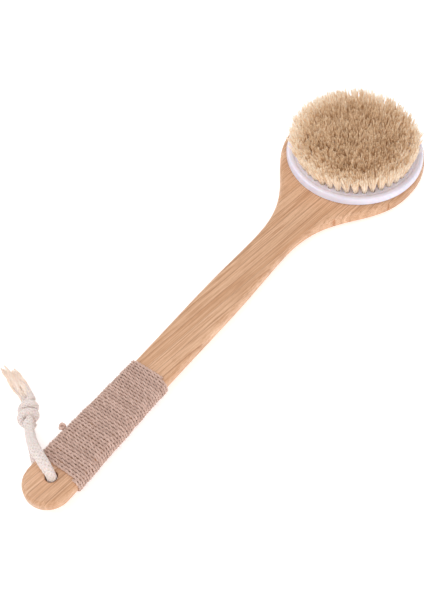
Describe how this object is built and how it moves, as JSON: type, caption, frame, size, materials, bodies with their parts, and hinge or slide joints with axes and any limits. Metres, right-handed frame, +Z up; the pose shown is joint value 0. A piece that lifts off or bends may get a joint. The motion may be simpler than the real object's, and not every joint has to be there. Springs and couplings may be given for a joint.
{
  "type": "body dry brush",
  "caption": "Long-handled bath and body brush: round bristle plate on a laminated bamboo paddle with a twine-wrapped grip and a knotted hanging cord.",
  "frame": {"origin": "middle of the brush on the surface it lies on, cord left out", "axes": "+X along the brush towards the head, +Z up, away from the surface it lies on"},
  "size_m": [0.3596, 0.122, 0.0279],
  "materials": {
    "bamboo": "satin",
    "plate": "glossy",
    "bristle": "matte",
    "wire": "satin",
    "adhesive": "satin",
    "twine": "matte",
    "cord": "matte"
  },
  "bodies": {
    "brush": {"bamboo_strip_01": "bamboo", "bamboo_strip_02": "bamboo", "bamboo_strip_03": "bamboo", "bamboo_strip_04": "bamboo", "bamboo_strip_05": "bamboo", "bamboo_strip_06": "bamboo", "bamboo_strip_07": "bamboo", "bamboo_strip_08": "bamboo", "bamboo_strip_09": "bamboo", "bamboo_strip_10": "bamboo", "bamboo_strip_11": "bamboo", "bamboo_strip_12": "bamboo", "bamboo_strip_13": "bamboo", "bamboo_strip_14": "bamboo", "bamboo_strip_15": "bamboo", "bamboo_strip_16": "bamboo", "bamboo_strip_17": "bamboo", "bamboo_strip_18": "bamboo", "bamboo_strip_19": "bamboo", "bamboo_strip_20": "bamboo", "bamboo_strip_21": "bamboo", "bristle_plate": "plate", "plate_adhesive": "adhesive", "tuft_ring_1": "bristle", "tuft_ring_2": "bristle", "tuft_ring_3": "bristle", "tuft_ring_4": "bristle", "tuft_ring_5": "bristle", "tuft_ring_6": "bristle", "tuft_ring_7": "bristle", "anchor_ring_1": "wire", "anchor_ring_2": "wire", "anchor_ring_3": "wire", "anchor_ring_4": "wire", "anchor_ring_5": "wire", "anchor_ring_6": "wire", "anchor_ring_7": "wire", "twine_wrap": "twine", "twine_knot": "twine"},
    "cord_loop": {"cord_front": "cord", "cord_back": "cord", "cord_knot": "cord", "cord_tail_long": "cord", "cord_tail_short": "cord"}
  },
  "joints": [
    {"name": "loop_swing", "type": "hinge", "parent": "brush", "child": "cord_loop", "pos_m": [-0.16213, 0, 0.0103], "axis": [0.0171, 0, 0.9999], "range_deg": [0, 185]}
  ]
}
